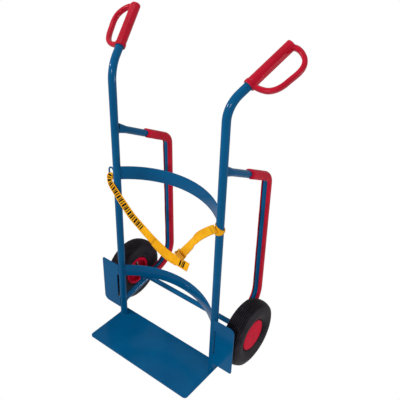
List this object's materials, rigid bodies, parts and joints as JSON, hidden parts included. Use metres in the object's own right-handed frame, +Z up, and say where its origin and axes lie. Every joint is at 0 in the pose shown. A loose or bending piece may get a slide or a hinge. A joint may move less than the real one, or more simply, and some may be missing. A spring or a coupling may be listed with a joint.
{
  "type": "hand truck",
  "caption": "Two-wheeled tubular hand truck with flat toe plate, curved crossbands, stair runners, D-guard grips, wheel guards and a lashing strap.",
  "frame": {"origin": "on the underside of the toe plate, at floor level, midway between the axes of the two main tubes", "axes": "+X to the right seen from the load side, +Y from the load side to the wheels and grips, +Z up along the main tubes"},
  "size_m": [0.7248, 0.4704, 1.194],
  "materials": {
    "blue_powder_coat": "gloss powder coat",
    "red_grip_plastic": "moulded, semi-gloss",
    "red_strip_plastic": "satin extrusion",
    "red_rim_paint": "satin paint",
    "tyre_rubber": "ribbed tread, matte",
    "inner_rubber": "matte",
    "zinc_steel": "zinc plated",
    "yellow_webbing": "woven polyester",
    "yellow_zinc": "yellow chromate"
  },
  "bodies": {
    "frame": {"main_tube_left": "blue_powder_coat", "main_tube_right": "blue_powder_coat", "runner_tube_left": "blue_powder_coat", "runner_tube_right": "blue_powder_coat", "upper_crossband": "blue_powder_coat", "lower_crossband": "blue_powder_coat", "toe_plate": "blue_powder_coat", "wheel_guard_left": "blue_powder_coat", "wheel_guard_right": "blue_powder_coat", "axle_saddle_left": "blue_powder_coat", "axle_saddle_right": "blue_powder_coat", "axle": "blue_powder_coat", "axle_spacer_left": "blue_powder_coat", "axle_spacer_right": "blue_powder_coat", "strap_eye": "blue_powder_coat", "grip_left": "red_grip_plastic", "grip_right": "red_grip_plastic", "glide_strip_left": "red_strip_plastic", "glide_strip_right": "red_strip_plastic", "axle_washer_left": "zinc_steel", "cotter_pin_left": "zinc_steel", "axle_washer_right": "zinc_steel", "cotter_pin_right": "zinc_steel", "strap_left": "yellow_webbing", "strap_right": "yellow_webbing", "strap_tail": "yellow_webbing", "strap_eye_loop": "yellow_webbing", "strap_tube_loop": "yellow_webbing", "buckle_frame": "yellow_zinc", "buckle_pin": "yellow_zinc", "buckle_spring": "yellow_zinc"},
    "wheel_left": {"tyre_left": "tyre_rubber", "inner_tube_left": "inner_rubber", "rim_outer_left": "red_rim_paint", "rim_inner_left": "red_rim_paint", "rim_bolts_left": "zinc_steel", "hub_tube_left": "red_rim_paint", "roller_bearing_left": "zinc_steel", "hub_cap_left": "red_rim_paint", "valve_stem_left": "inner_rubber", "valve_cap_left": "inner_rubber"},
    "wheel_right": {"tyre_right": "tyre_rubber", "inner_tube_right": "inner_rubber", "rim_outer_right": "red_rim_paint", "rim_inner_right": "red_rim_paint", "rim_bolts_right": "zinc_steel", "hub_tube_right": "red_rim_paint", "roller_bearing_right": "zinc_steel", "hub_cap_right": "red_rim_paint", "valve_stem_right": "inner_rubber", "valve_cap_right": "inner_rubber"},
    "strap_cam": {"buckle_cam": "yellow_zinc"}
  },
  "joints": [
    {"name": "wheel_left_spin", "type": "hinge", "parent": "frame", "child": "wheel_left", "pos_m": [-0.284, 0.122, 0.128], "axis": [1, 0, 0], "continuous": true},
    {"name": "wheel_right_spin", "type": "hinge", "parent": "frame", "child": "wheel_right", "pos_m": [0.284, 0.122, 0.128], "axis": [1, 0, 0], "continuous": true},
    {"name": "strap_cam_lever", "type": "hinge", "parent": "frame", "child": "strap_cam", "pos_m": [0.08147, -0.0259, 0.46342], "axis": [0.8601, 0, -0.5101], "range_deg": [0, 70], "stiffness_Nm_per_rad": 0.02, "springref_deg": -17.19}
  ]
}
